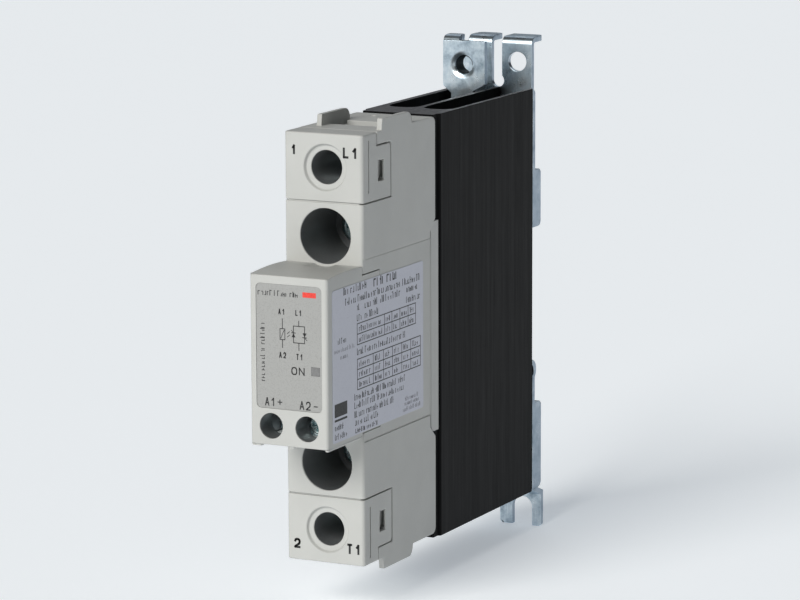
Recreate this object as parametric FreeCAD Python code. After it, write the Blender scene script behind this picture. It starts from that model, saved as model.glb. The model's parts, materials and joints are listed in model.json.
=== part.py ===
"""One-module-wide solid state relay on its own finned heatsink, with a clip for a 35 mm rail.

Shapes are drawn in bench coordinates, in millimetres: X across the 17.8 mm width, Y back from the
faces of the power terminals, Z up from the foot of the housing. save() moves each one to the part's
own frame: origin where the rail's front face bears on the clip, at half the rail's height.
"""
import FreeCAD, Part
import math
import os

from FreeCAD import Vector

os.makedirs("parts", exist_ok=True)

# driving dimensions: housing
WIDTH = 17.8              # one module
HALF = WIDTH / 2
HEIGHT = 89.0             # housing, foot to top
DEPTH = 33.6              # terminal faces to the back of the housing
MID_Z = HEIGHT / 2        # the two power ends mirror about this height
SIDE_WALL = 1.2
FRONT_WALL = 1.6
WELL_LIP = 0.45           # light wall left in front of each sleeve
DRIVER_LIP = 1.05
CONTROL_LIP = 0.35
END_WALL = 1.1
RECESS = 0.12             # shallow side recess that takes the label
SEAT_Y = 85.0             # plane of the rail's front face
SEAT_Z = 40.7             # half height of the rail
PLAY = 0.1                # gap beside a sliding face

# power ends (the upper one; the lower one is its mirror image)
AXIS_X = 0.4              # screw axes, across the width
TERMINAL_Z = 82.0
FIXING_Z = 68.0           # 47 mm between the two fixing screws
DRIVER_R = 3.5
WELL_R = 5.75
SLEEVE_T = 0.6            # dark sleeves that line the openings in the light mouldings
SLEEVE_GAP = 0.05
COVER_Z = 75.1            # lower edge of the terminal cover
COVER_GAP = 0.25          # parting line below the cover
WING_GAP = 0.45           # and behind its wings
COVER_TOP_Y = 6.45        # how far back the cover reaches on top
WING_Y = 12.65            # how far back its wings reach
WING_Z = 86.1
ENTRY_X = (-5.35, 7.7)    # wire entry between the barrier tabs
ENTRY_Y = (13.5, 20.0)
PIP_XY = (-3.1, 28.6)     # small blind hole in the top, behind the wire entry
BUSBAR_Y = 20.0
BUSBAR_T = 1.5

# control module
NOSE_Y = -15.5
NOSE_Z = (27.4, 62.05)
NOSE_HALF = HALF - RECESS
NOSE_WALL = 1.3
CONTROL_X = 4.05
CONTROL_Z = 31.35
CONTROL_R = 2.65
LABEL_X = (-7.35, 7.5)
LABEL_Z = (34.9, 60.4)
WINDOW_X = (5.0, 7.0)
WINDOW_Z = (42.3, 44.1)

# power module
PLATE_Y = (31.6, 33.6)
PAD_T = 0.3
SINK_Y = (PLATE_Y[1] + PAD_T, 82.9)
SINK_Z = (-1.3, 89.2)
SINK_HALF = 8.8
SINK_BASE_Y = 42.5
FIN_X = ((-SINK_HALF, -7.3), (-0.35, 0.85), (7.8, SINK_HALF))

# rail clip
SHEET = 1.25
CLIP_Y = SINK_Y[1] + 0.05
WALL_Y = 89.2             # rearmost plane, a panel behind it
RAIL_Z = (SEAT_Z - 17.5, SEAT_Z + 17.5)
FLANGE_TOP = 100.4
EARTH_XZ = (-3.0, 95.0)   # protective earth screw
EARTH_R = 2.1             # M5 tapping size
EAR_XZ = (5.0, 94.95)     # hole for an M4 panel screw
EAR_R = 2.15
RIVET_Y = 77.0
PIN_R = 1.25
LATCH_TRAVEL = 4.0
SPRING_XY = (4.4, 78.0)   # the latch spring stands in the right-hand channel
SPRING_Z = (30.15, 43.0)  # from the bracket's seat to the latch's lug
PIN_ZS = (8.0, 18.0)

# screws
M4_R, M3_R = 2.0, 1.5
THREAD_GAP = 0.05


# small helpers ------------------------------------------------------------------------------
def box(x, y, z):
    """A box between pairs of coordinates."""
    return Part.makeBox(x[1] - x[0], y[1] - y[0], z[1] - z[0], Vector(x[0], y[0], z[0]))


def rod_x(y, z, r, x0, x1):
    return Part.makeCylinder(r, x1 - x0, Vector(x0, y, z), Vector(1, 0, 0))


def rod_y(x, z, r, y0, y1):
    return Part.makeCylinder(r, y1 - y0, Vector(x, y0, z), Vector(0, 1, 0))


def rod_z(x, y, r, z0, z1):
    return Part.makeCylinder(r, z1 - z0, Vector(x, y, z0), Vector(0, 0, 1))


def cone_y(x, z, r0, r1, y0, y1):
    return Part.makeCone(r0, r1, y1 - y0, Vector(x, y0, z), Vector(0, 1, 0))


def join(shapes):
    first, rest = shapes[0], shapes[1:]
    return (first.fuse(rest) if rest else first).removeSplitter()


def edges_at(shape, direction, test):
    """Straight edges along a direction whose middle passes the test."""
    found = []
    for edge in shape.Edges:
        if len(edge.Vertexes) != 2:
            continue
        a, b = edge.Vertexes[0].Point, edge.Vertexes[1].Point
        run = b.sub(a)
        middle = a.add(b).multiply(0.5)
        straight = abs(edge.Length - run.Length) < 1e-6
        if straight and run.cross(direction).Length < 1e-6 * run.Length and test(middle):
            found.append(edge)
    return found


def near(value, target):
    return abs(value - target) < 1e-3


def rounded(shape, radius, direction, test):
    return shape.makeFillet(radius, edges_at(shape, direction, test))


def slab_x(points, x0, x1):
    """An outline in Y and Z, with (y, z) corners or (y, z, y, z) arcs, drawn out along X."""
    return outline(points, lambda a, b: Vector(x0, a, b)).extrude(Vector(x1 - x0, 0, 0))


def slab_y(points, y0, y1):
    return outline(points, lambda a, b: Vector(a, y0, b)).extrude(Vector(0, y1 - y0, 0))


def slab_z(points, z0, z1):
    return outline(points, lambda a, b: Vector(a, b, z0)).extrude(Vector(0, 0, z1 - z0))


def outline(points, place):
    """A face from corners (a, b), or (via a, via b, end a, end b) for an arc to that end."""
    edges, here = [], place(*points[0][-2:])
    for point in points[1:] + points[:1]:
        there = place(*point[-2:])
        if len(point) == 4:
            edges.append(Part.Arc(here, place(*point[:2]), there).toShape())
        elif here.distanceToPoint(there) > 1e-7:
            edges.append(Part.makeLine(here, there))
        here = there
    return Part.Face(Part.Wire(edges))


def mirrored(shape):
    """The same shape at the other power end."""
    return shape.mirror(Vector(0, 0, MID_Z), Vector(0, 0, 1))


X_DIR, Y_DIR, Z_DIR = Vector(1, 0, 0), Vector(0, 1, 0), Vector(0, 0, 1)


def save(name, shape):
    placed = shape.translated(Vector(0, -SEAT_Y, -SEAT_Z))
    if not placed.isValid():
        raise ValueError(name + " is not a valid shape")
    placed.exportStep("parts/" + name + ".step")


# housing ------------------------------------------------------------------------------------
def barrier_tabs():
    """The two insulating walls beside the wire entry, standing on the top of the housing."""
    top, rear, round_r = 91.4, 22.6, 2.0
    tabs = []
    for x0, x1, front in ((-6.5, ENTRY_X[0], 9.5), (ENTRY_X[1], HALF, 8.5)):
        turn = round_r * (1 - math.sqrt(0.5))
        side = [(front, HEIGHT - END_WALL), (front + 0.5, top),
                (rear - round_r, top), (rear - turn, top - turn, rear, top - round_r),
                (rear + 0.3, HEIGHT - END_WALL)]
        tabs.append(slab_x(side, x0, x1))
    return tabs


def cover_zone(below, behind):
    """The room a terminal cover takes at the upper end, grown by its parting gaps."""
    low, rear, wing_top = COVER_Z - below, WING_Y + behind, WING_Z + below
    front = box((-HALF - 1, HALF + 1), (-1, COVER_TOP_Y + below), (low, HEIGHT + 1))
    wings = box((-HALF - 1, HALF + 1), (-1, rear), (low, wing_top))
    wings = rounded(wings, 0.7, X_DIR, lambda p: near(p.y, rear) and near(p.z, wing_top))
    return join([front, wings])


def sill():
    """Lip on the housing that closes most of the parting gap in front, behind the cover's edge."""
    return box((-8.1, 8.1), (0.15, FRONT_WALL), (COVER_Z - 0.5, COVER_Z - 0.1))


def latch_tongues():
    """Inner walls under the cover's wings, each with the catch that shows in the wing's window."""
    pieces = []
    for side in (-1, 1):
        inner, outer, crest = 6.7, 7.65, 8.25
        xs = sorted((side * inner, side * outer))
        pieces.append(box(xs, (2.0, WING_Y + 1.5), (COVER_Z - 1.5, 87.8)))
        root = sorted((side * inner, side * (HALF - SIDE_WALL + 0.3)))
        pieces.append(box(root, (WING_Y + 0.3, WING_Y + 1.5), (COVER_Z - 1.5, 87.8)))
        ramp = [(side * (outer - 0.3), 7.2), (side * crest, 7.8), (side * crest, 8.1),
                (side * (outer - 0.3), 8.1)]
        pieces.append(slab_z(ramp, 79.5, 82.5))
    return pieces


def housing_end():
    """What is cut from the housing at the upper end."""
    return [cover_zone(COVER_GAP, WING_GAP),
            rod_y(AXIS_X, FIXING_Z, WELL_R, -1, FRONT_WALL + 0.2),
            rod_y(AXIS_X, FIXING_Z, WELL_R + SLEEVE_T, WELL_LIP, FRONT_WALL + 0.2),
            box(ENTRY_X, ENTRY_Y, (HEIGHT - 3, HEIGHT + 0.1)),
            box((ENTRY_X[0], -4.8), (ENTRY_Y[1] - 0.1, 22.4), (HEIGHT - 0.9, HEIGHT + 0.1)),
            rod_z(*PIP_XY, 0.6, HEIGHT - 0.9, HEIGHT + 0.1)]


def housing_shell():
    body = box((-HALF, HALF), (0, DEPTH), (0, HEIGHT))
    body = rounded(body, 0.8, Z_DIR, lambda p: near(p.y, 0))
    body = rounded(body, 1.5, X_DIR, lambda p: near(p.y, DEPTH))
    body = body.cut(box((-HALF + SIDE_WALL, HALF - SIDE_WALL), (FRONT_WALL, DEPTH + 1),
                        (END_WALL, HEIGHT - END_WALL)))
    cuts = []
    for turn in (lambda s: s, mirrored):
        cuts += [turn(s) for s in housing_end()]
    # side recesses for the label, the opening for the control module and its skirt
    for side in (-1, 1):
        xs = sorted((side * (HALF - RECESS), side * (HALF + 1)))
        cuts.append(box(xs, (-1, 31.0), (26.0, 63.5)))
        xs = sorted((side * (HALF - SIDE_WALL - 0.1), side * (HALF + 1)))
        cuts.append(box(xs, (-1, 7.85), (27.95, 60.75)))
        # the back edge is notched for the arms of the rear frame
        notch = [(31.2, 65.0), (31.2, 23.2), (DEPTH + 1, 20.0), (DEPTH + 1, 68.6)]
        cuts.append(slab_x(notch, *xs))
    cuts.append(box((-7.3, 7.3), (-1, FRONT_WALL + 1), (28.9, 60.6)))
    body = body.cut(cuts)
    added = barrier_tabs() + latch_tongues() + [sill()]
    added += [mirrored(s) for s in added]
    return join([body] + added)


def terminal_cover():
    """Snap-on cover of the upper power terminal: face, top and two wings with a catch window."""
    inner = 7.75
    cover = cover_zone(0, 0).common(box((-HALF, HALF), (0, 40), (0, HEIGHT)))
    cover = rounded(cover, 0.8, Z_DIR, lambda p: near(p.y, 0))
    cover = cover.cut([box((-inner, inner), (1.7, 40), (0, HEIGHT - 1.1)),
                       rod_y(AXIS_X, TERMINAL_Z, DRIVER_R, -1, 3),
                       rod_y(AXIS_X, TERMINAL_Z, DRIVER_R + SLEEVE_T, DRIVER_LIP, 3),
                       cone_y(AXIS_X, TERMINAL_Z, 4.85, 4.55, -0.01, 0.75)])
    for side in (-1, 1):
        xs = sorted((side * (inner - 1), side * (HALF + 1)))
        cover = cover.cut([box(xs, (7.15, 9.8), (78.8, 83.1)),       # catch window
                           box(xs, (2.65, 3.05), (77.0, 87.6)),      # slit that frees the wing
                           # groove inside the wing that the catch runs in
                           box(sorted((side * (inner - 1), side * 8.35)), (7.0, 14), (79.3, 82.7))])
    return rounded(cover, 0.4, X_DIR, lambda p: near(p.y, 0) and p.z > HEIGHT - 0.1)


def power_insert():
    """Dark moulding of the upper end: screw well, driver guide and wire chamber in one piece."""
    reach = HALF - SIDE_WALL - 0.05
    well = box((-reach, reach), (FRONT_WALL + 0.05, 18.0), (61.8, 74.8))
    tongue_side = box((-6.65, 6.65), (1.8, 18.0), (73.0, 87.8))
    chamber = box((-reach, reach), (14.2, 23.5), (75.3, 87.8))
    sleeves = [rod_y(AXIS_X, z, r + SLEEVE_T - SLEEVE_GAP, lip + SLEEVE_GAP, 2.5)
               for z, r, lip in ((FIXING_Z, WELL_R, WELL_LIP), (TERMINAL_Z, DRIVER_R, DRIVER_LIP))]
    block = join([well, tongue_side, chamber] + sleeves)
    cuts = [box((-6.7 - 2, -6.65), (1, 14.25), (73.5, 88)), box((6.65, 8.7), (1, 14.25), (73.5, 88)),
            rod_y(AXIS_X, FIXING_Z, WELL_R, 0, 16.0),
            rod_y(AXIS_X, FIXING_Z, M4_R + 0.15, 15, 19),
            rod_y(AXIS_X, TERMINAL_Z, DRIVER_R, 0, 14.3),
            box((ENTRY_X[0], 7.4), (13.5, BUSBAR_Y), (76.9, 88)),
            box((-5.2, 7.3), (BUSBAR_Y - 0.1, BUSBAR_Y + BUSBAR_T), (75.35, 88)),
            box((3.1, 7.15), (BUSBAR_Y - 0.1, 24), (75.2, 76.95)),
            rod_y(AXIS_X, TERMINAL_Z, 2.5, 20, 24)]
    return block.cut(cuts)


def busbar():
    """Tinned copper strip from the upper terminal screw down to the power module."""
    x = (3.2, 7.0)
    face = box((-5.1, x[1]), (BUSBAR_Y, BUSBAR_Y + BUSBAR_T), (75.4, 86.6))
    run = box(x, (BUSBAR_Y, 30.6), (75.4, 75.4 + BUSBAR_T))
    leg = box(x, (30.6 - BUSBAR_T, 30.6), (55.0, 75.4 + BUSBAR_T))
    return join([face, run, leg]).cut(rod_y(AXIS_X, TERMINAL_Z, M4_R + THREAD_GAP, 19, 23))


def cross_slot(x, z, y, reach, deep):
    """A cross recess with a flat slot, cut into a screw head whose face is at y."""
    arms = []
    for dx, dz in ((reach, 0.42), (0.42, reach)):
        arms.append(box((x - dx, x + dx), (y - 0.1, y + deep), (z - dz, z + dz)))
    return join(arms)


def pan_screw(x, z, face_y, head, shank, length):
    """A pan-head screw along +Y; head is (radius, height) and length is under the head."""
    head_r, head_h = head
    top = rod_y(x, z, head_r, face_y, face_y + head_h)
    ring = [e for e in top.Edges if near(e.BoundBox.YMin, face_y) and near(e.BoundBox.YMax, face_y)]
    top = top.makeFillet(head_h * 0.4, ring)
    body = rod_y(x, z, shank, face_y + head_h - 0.1, face_y + head_h + length)
    return join([top, body]).cut(cross_slot(x, z, face_y, head_r * 0.62, head_h * 0.6))


def clamp_washer(x, z, y, half, thick, hole):
    """Square pressure washer with a shallow ridge on its wire side."""
    plate = box((x - half, x + half), (y, y + thick * 0.6), (z - half, z + half))
    plate = rounded(plate, half * 0.15, Y_DIR, lambda p: True)
    ridges = [box((x + side * half * 0.7 - 0.3, x + side * half * 0.7 + 0.3),
                  (y + thick * 0.5, y + thick), (z - half * 0.9, z + half * 0.9)) for side in (-1, 1)]
    return join([plate] + ridges).cut(rod_y(x, z, hole, y - 1, y + thick + 1))


# control module -----------------------------------------------------------------------------
def nose_block(half, low, front, rise):
    """The control module's body between its flat foot and its slightly crowned top."""
    top = NOSE_Z[1] + rise
    side = [(front, low), (front, top), (front * 0.5, top + 0.5, 0.0, top + 0.3), (0.0, low)]
    return slab_x(side, -half, half)


def control_cover():
    body = nose_block(NOSE_HALF, NOSE_Z[0], NOSE_Y, 0)
    body = rounded(body, 0.7, Z_DIR, lambda p: near(p.y, NOSE_Y))
    skirts, feet = [], []
    for side in (-1, 1):
        wall = sorted((side * (NOSE_HALF - 1.0), side * NOSE_HALF))
        skirts.append(box(wall, (-1, 7.7), (28.1, 60.5)))
    for x0, x1 in ((-NOSE_HALF + 0.1, -6.6), (-0.1, 0.9), (7.9, NOSE_HALF - 0.1)):
        feet.append(box((x0, x1), (NOSE_Y + 0.35, -0.3), (NOSE_Z[0] - 0.45, NOSE_Z[0] + 0.2)))
    inner = nose_block(NOSE_HALF - 1.0, NOSE_Z[0] + 1.0, NOSE_Y + NOSE_WALL, -1.2)
    inner = inner.fuse(box((-NOSE_HALF + 1.0, NOSE_HALF - 1.0), (-1, 8), (28.4, 60.2)))
    cuts = [inner]
    for x in (-CONTROL_X, CONTROL_X):
        cuts.append(rod_y(x, CONTROL_Z, CONTROL_R, NOSE_Y - 1, NOSE_Y + 2))
        cuts.append(rod_y(x, CONTROL_Z, CONTROL_R + SLEEVE_T, NOSE_Y + CONTROL_LIP, NOSE_Y + 2))
        cuts.append(box((x - 2.9, x + 2.9), (-13.0, -5.2), (20, 30)))
    cuts.append(box(WINDOW_X, (NOSE_Y - 1, NOSE_Y + 2), WINDOW_Z))
    label = box(LABEL_X, (NOSE_Y - 1, NOSE_Y + 0.3), LABEL_Z)
    cuts.append(rounded(label, 1.0, Y_DIR, lambda p: True))
    shell = join([body] + skirts + feet).cut(cuts)
    # the fixing well's driver path scoops the top
    return shell.cut(rod_y(AXIS_X, FIXING_Z, WELL_R + 0.45, -5.5, 1))


def control_insert():
    """Dark moulding behind the control holes: driver guides above open wire pockets."""
    front = -14.0
    parts = [box((-7.6, 7.6), (front, -2.4), (28.6, 36.2))]
    cuts = []
    for x in (-CONTROL_X, CONTROL_X):
        parts.append(rod_y(x, CONTROL_Z, CONTROL_R + SLEEVE_T - SLEEVE_GAP,
                           NOSE_Y + CONTROL_LIP + SLEEVE_GAP, front + 0.5))
        cuts += [rod_y(x, CONTROL_Z, CONTROL_R, NOSE_Y, -8),
                 box((x - 3.05, x + 3.05), (-10.4, -5.0), (28, 34.6)),
                 box((x - 3.0, x + 3.0), (-5.2, -3.75), (28, 37)),
                 rod_y(x, CONTROL_Z, M3_R + 0.3, -5, -2)]
    return join(parts).cut(cuts)


def control_terminal(x):
    """Tinned brass plate that the control screw runs in, with a tail to the front board."""
    plate = box((x - 2.9, x + 2.9), (-5.0, -3.8), (28.7, 36.2))
    tail = box((x - 1.1, x + 1.1), (-5.0, -3.8), (36.0, 39.5))
    return join([plate, tail]).cut(rod_y(x, CONTROL_Z, M3_R + THREAD_GAP, -6, -2))


def front_label():
    film = box((LABEL_X[0] + 0.05, LABEL_X[1] - 0.05), (NOSE_Y + 0.12, NOSE_Y + 0.3),
               (LABEL_Z[0] + 0.05, LABEL_Z[1] - 0.05))
    film = rounded(film, 0.95, Y_DIR, lambda p: True)
    return film.cut(box(WINDOW_X, (NOSE_Y - 1, NOSE_Y + 2), WINDOW_Z))


def side_label():
    film = box((NOSE_HALF, NOSE_HALF + 0.08), (-13.5, 27.7), (28.3, 59.4))
    return rounded(film, 0.6, X_DIR, lambda p: True)


def light_pipe():
    """Clear plastic light guide from the front board to the window in the label."""
    (x0, x1), (z0, z1) = WINDOW_X, WINDOW_Z
    head = box((x0 + 0.04, x1 - 0.04), (NOSE_Y + 0.1, NOSE_Y + 2.5), (z0 + 0.04, z1 - 0.04))
    collar = box((x0 - 0.4, x1 + 0.4), (NOSE_Y + NOSE_WALL + 0.05, NOSE_Y + 2.6), (z0 - 0.4, z1 + 0.4))
    middle = (x0 + x1) / 2, (z0 + z1) / 2
    stem = rod_y(middle[0], middle[1], 0.8, NOSE_Y + 2.4, -7.4)
    return join([head, collar, stem])


# boards and parts on them -------------------------------------------------------------------
def front_board():
    return box((-7.2, 7.2), (-6.6, -5.05), (36.6, 58.5))


def driver_board():
    return box((-6.8, -5.2), (-4.9, 27.5), (37.0, 58.0))


def status_led():
    x, z = sum(WINDOW_X) / 2, sum(WINDOW_Z) / 2
    base = box((x - 0.8, x + 0.8), (-7.0, -6.6), (z - 0.6, z + 0.6))
    return join([base, cone_y(x, z, 0.35, 0.55, -7.3, -6.95)])


def optocoupler():
    body = box((-4.7, -1.5), (2.0, 8.4), (44.0, 52.8))
    legs = []
    for y in (1.3, 8.4):
        for z in (45.9, 48.4, 50.9):
            legs.append(box((-5.2, -3.0), (y, y + 0.7), (z - 0.4, z + 0.4)))
    return join([body] + legs)


def varistor():
    disc = rod_x(17.5, 48.0, 6.8, -4.6, -0.6)
    ring = [e for e in disc.Edges if near(e.BoundBox.XMin, e.BoundBox.XMax)]
    disc = disc.makeFillet(1.2, ring)
    leads = [rod_x(17.5 + dy, 43.5, 0.4, -5.2, -3.0) for dy in (-2.5, 2.5)]
    return join([disc] + leads)


def gate_pins():
    return [rod_y(-5.9, z, 0.35, 27.5, 30.6) for z in (41.0, 45.0)]


# power module and heatsink ------------------------------------------------------------------
def base_plate():
    plate = box((-7.2, 7.2), PLATE_Y, (14.6, 74.4))
    plate = rounded(plate, 1.0, Y_DIR, lambda p: True)
    return plate.cut([rod_y(AXIS_X, z, M4_R + 0.15, 30, 35) for z in fixing_zs()])


def fixing_zs():
    return FIXING_Z, HEIGHT - FIXING_Z


def thermal_pad():
    pad = box((-7.0, 7.0), (PLATE_Y[1], SINK_Y[0]), (15.0, 74.0))
    return pad.cut([rod_y(AXIS_X, z, M4_R + 0.4, 30, 36) for z in fixing_zs()])


def ceramic_substrate():
    return box((-6.6, 7.1), (30.6, PLATE_Y[0]), (28.0, 61.0))


def thyristor_chips():
    return [box((-4.0, 2.4), (30.1, 30.6), (z, z + 7.0)) for z in (34.5, 47.5)]


def rear_frame():
    """Light frame round the base plate, with two arms that lie in the heatsink's side rebates."""
    outer = box((-7.65, 7.65), (30.8, 33.5), (13.4, 75.6))
    ring = outer.cut(box((-7.25, 7.25), (30, 34), (14.5, 74.5)))
    arms = []
    for side in (-1, 1):
        profile = [(31.8, 23.6), (31.8, 64.4), (32.3, 66.1, 33.8, 66.9), (35.3, 66.9),
                   (35.3, 22.1), (33.8, 22.1), (32.3, 22.5, 31.8, 23.6)]
        arm = slab_x(profile, *sorted((side * 7.5, side * 8.7)))
        arms.append(arm.cut(box(sorted((side * 7.0, side * 8.25)), (33.5, 37), (20, 70))))
    return join([ring] + arms)


def heatsink():
    """Extruded section: thick base, three fins and two round-ended channels open to the back."""
    half, rebate, front, back = SINK_HALF, 8.2, SINK_Y[0], SINK_Y[1]
    base = slab_z([(-rebate, front), (rebate, front), (rebate, 36.0), (half - 0.6, 36.0),
                   (half - 0.18, 36.18, half, 36.6), (half, back), (-half, back), (-half, 36.6),
                   (-half + 0.18, 36.18, -half + 0.6, 36.0), (-rebate, 36.0)], *SINK_Z)
    cuts = []
    for left, right in zip(FIN_X, FIN_X[1:]):
        x0, x1 = left[1], right[0]
        r = 3.0
        turn = r * (1 - math.sqrt(0.5))
        y = SINK_BASE_Y
        channel = [(x0, y + r), (x0 + turn, y + turn, x0 + r, y), (x1 - r, y),
                   (x1 - turn, y + turn, x1, y + r), (x1, back + 1), (x0, back + 1)]
        cuts.append(slab_z(channel, SINK_Z[0] - 1, SINK_Z[1] + 1))
    cuts += [rod_y(AXIS_X, z, M4_R + 0.02, 30, 42.0) for z in fixing_zs()]
    cuts += [rod_x(RIVET_Y, z, PIN_R + 0.02, -1, 1.2) for z in PIN_ZS + (66.0,)]
    return base.cut(cuts)


# rail clip ----------------------------------------------------------------------------------
def bent_flange(x, y, top, back, corner):
    """A strip that rises at y and bends back over a radius to a flat flange at the given top."""
    inner, outer = 0.5, 0.5 + SHEET
    cy, cz = y + outer, top - outer
    k = math.sqrt(0.5)
    side = [(y, cz - 2), (y, cz), (cy - outer * k, cz + outer * k, cy, top), (back, top),
            (back, top - SHEET), (cy, top - SHEET),
            (cy - inner * k, cz + inner * k, y + SHEET, cz), (y + SHEET, cz - 2)]
    flange = slab_x(side, *x)
    return rounded(flange, corner, Z_DIR, lambda p: near(p.y, back))


def side_flanges(y, back, z, corner):
    flanges = []
    for side in (-1, 1):
        wall = box(sorted((side * (HALF - 0.05 - SHEET), side * (HALF - 0.05))), (y, back), z)
        flanges.append(rounded(wall, corner, X_DIR, lambda p: near(p.y, back)))
    return flanges


def rail_hook(x, wall_y, back, shelf_z, tip_z):
    """A shelf out from the plate with a finger that stands behind the rail's lip."""
    low, high = sorted((shelf_z, tip_z))
    shelf = (shelf_z, shelf_z + SHEET) if tip_z < shelf_z else (shelf_z - SHEET, shelf_z)
    hook = join([box(x, (wall_y, back), shelf),
                 box(x, (back - SHEET, back), (min(low, shelf[0]), max(high, shelf[1])))])
    far = shelf[1] if tip_z < shelf_z else shelf[0]
    return rounded(hook, 1.2, X_DIR, lambda p: near(p.y, back) and near(p.z, far))


def earth_tab():
    """Front-facing tab for the protective earth screw, on a neck that stands in a channel."""
    y0, y1 = 72.0, 72.0 + SHEET
    x, z = EARTH_XZ
    head = [(-7.8, 90.3), (-7.8, 100.3), (2.2, 100.3), (2.2, 90.8), (-0.6, 89.3), (-0.6, 80.0),
            (-5.9, 80.0), (-5.9, 88.7)]
    plate = slab_y(head, y0, y1)
    lip = bent_flange((-7.8, -4.0), y0, 101.4, 75.8, 0.9)
    collar = rod_y(x, z, 3.5, y1 - 0.1, y1 + 3.3)
    run = box((-5.9, -0.6), (y0, CLIP_Y + 0.2), (80.0, 80.0 + SHEET))
    tab = join([plate, lip, collar, run])
    tab = rounded(tab, 1.2, X_DIR, lambda p: near(p.y, y0) and near(p.z, 80.0))
    return tab.cut([rod_y(x, z, EARTH_R, 70, 78), cone_y(x, z, 3.2, EARTH_R, y0 - 0.01, y0 + 0.5)])


def rail_bracket():
    """Fixed upper half of the clip: screw ear, two top flanges, side flanges and rail hook."""
    y0, y1 = CLIP_Y, CLIP_Y + SHEET
    plate = slab_y([(-HALF + 0.05, 58.3), (-HALF + 0.05, 98.2), (-6.9, 98.2), (-6.9, 98.3), (8.5, 98.3),
                    (8.5, 89.0), (HALF - 0.05, 88.2), (HALF - 0.05, 58.3), (5.5, 58.3), (5.5, 47.0),
                    (-5.5, 47.0), (-5.5, 58.3)], y0, y1)
    pieces = [plate,
              bent_flange((-6.9, -1.0), y0, FLANGE_TOP, WALL_Y, 1.4),
              bent_flange((0.6, 8.5), y0, FLANGE_TOP, WALL_Y, 1.4),
              rail_hook((-5.5, 5.5), y1 - 0.1, 87.45, RAIL_Z[1] + 0.2, 54.9),
              earth_tab()]
    pieces += side_flanges(y0, 87.2, (58.3, 71.1), 1.2)
    # pads that the rail's upper lip bears on, and the hanger whose foot seats the spring
    for x in (-3.4, 3.4):
        pad = rod_y(x, 56.3, 1.5, y1 - 0.1, SEAT_Y)
        pieces.append(pad)
    hanger_x, seat = (2.6, 5.5), SPRING_Z[0]
    pieces += [box(hanger_x, (73.2, y1), (47.0, 47.0 + SHEET)),
               box(hanger_x, (73.2, 73.2 + SHEET), (seat - SHEET, 47.0 + SHEET)),
               box((2.6, 6.4), (73.2, 81.0), (seat - SHEET, seat))]
    # two cheeks each side of the middle fin, riveted through it
    for x0 in (FIN_X[1][0] - 0.02 - SHEET, FIN_X[1][1] + 0.02):
        pieces.append(box((x0, x0 + SHEET), (72.5, y1), (62.0, 70.0)))
    cuts = [box((-1.15, 1.3), (y0 - 1, WALL_Y + 1), (90.5, 102)),
            rod_y(0.3, 90.6, 1.45, y0 - 1, y1 + 1),
            rod_y(*EAR_XZ, EAR_R, y0 - 1, y1 + 1),
            rod_x(RIVET_Y, 66.0, PIN_R + 0.02, -3, 3.5)]
    return join(pieces).cut(cuts)


def headed_pin(z, gap):
    """A headed pin through the middle fin and the sheet cheeks beside it."""
    left = FIN_X[1][0] - gap - SHEET
    right = FIN_X[1][1] + gap + SHEET
    return join([rod_x(RIVET_Y, z, PIN_R, left - 0.1, right + 0.1),
                 rod_x(RIVET_Y, z, 2.1, left - 0.75, left - 0.02),
                 rod_x(RIVET_Y, z, 2.1, right + 0.02, right + 0.75)])


def pin_slot(z):
    """The slot that lets the latch move down past a guide pin."""
    r = PIN_R + PLAY
    return join([rod_x(RIVET_Y, z, r, -4, 5), rod_x(RIVET_Y, z + LATCH_TRAVEL, r, -4, 5),
                 box((-4, 5), (RIVET_Y - r, RIVET_Y + r), (z, z + LATCH_TRAVEL))])


def rail_latch():
    """Sliding lower half of the clip: nose, catch, side flanges and the release fork."""
    y0, y1 = CLIP_Y + PLAY, CLIP_Y + PLAY + SHEET
    edge = HALF - 0.05
    plate = box((-edge, edge), (y0, y1), (-0.9, 24.6))
    nose_z, nose_r = 26.25, 2.45
    centre_y = SEAT_Y - nose_r
    bead = rod_x(centre_y, nose_z, nose_r, -edge, edge).cut(
        rod_x(centre_y, nose_z, nose_r - SHEET, -edge - 1, edge + 1))
    bead = bead.common(box((-edge, edge), (y0, SEAT_Y + 1), (20, 30)))
    # joggle and fork, one sheet thickness behind the flanges
    fy0, fy1 = WALL_Y - SHEET, WALL_Y
    joggle = slab_x([(y0, -0.9), (y0, 0.4), (y1, 0.4), (y1, -0.2), (fy1, -2.2), (fy1, -4.0),
                     (fy0, -4.0), (fy0, -3.0), (y1 - 0.2, -1.5)], -1.4, 8.75)
    fork = box((-1.4, 8.75), (fy0, fy1), (-10.4, -3.0))
    fork = rounded(fork, 0.8, Y_DIR, lambda p: near(p.z, -10.4))
    slot_x, slot_r, arch_z = 4.12, 2.37, -6.2
    slot = join([rod_y(slot_x, arch_z, slot_r, 80, 92),
                 box((slot_x - slot_r, slot_x + slot_r), (86.5, 92), (-12, arch_z))])
    pieces = [plate, bead, joggle, fork,
              rail_hook((-5.5, 5.5), y1 - 0.1, 87.45, RAIL_Z[0] - 0.3, 27.0)]
    pieces += side_flanges(y0, 87.7, (-0.9, 18.8), 1.4)
    cheek_gap = PLAY
    for x0 in (FIN_X[1][0] - cheek_gap - SHEET, FIN_X[1][1] + cheek_gap):
        pieces.append(box((x0, x0 + SHEET), (73.0, y1), (4.5, 26.0)))
    # the right-hand cheek runs on up to a lug over the spring
    cheek_x, lug_z = FIN_X[1][1] + cheek_gap, SPRING_Z[1]
    pieces += [box((cheek_x, cheek_x + SHEET), (76.0, 80.0), (25.0, lug_z + SHEET)),
               box((cheek_x, 6.4), (76.0, 80.0), (lug_z, lug_z + SHEET))]
    return join(pieces).cut([slot] + [pin_slot(z) for z in PIN_ZS])


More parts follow.
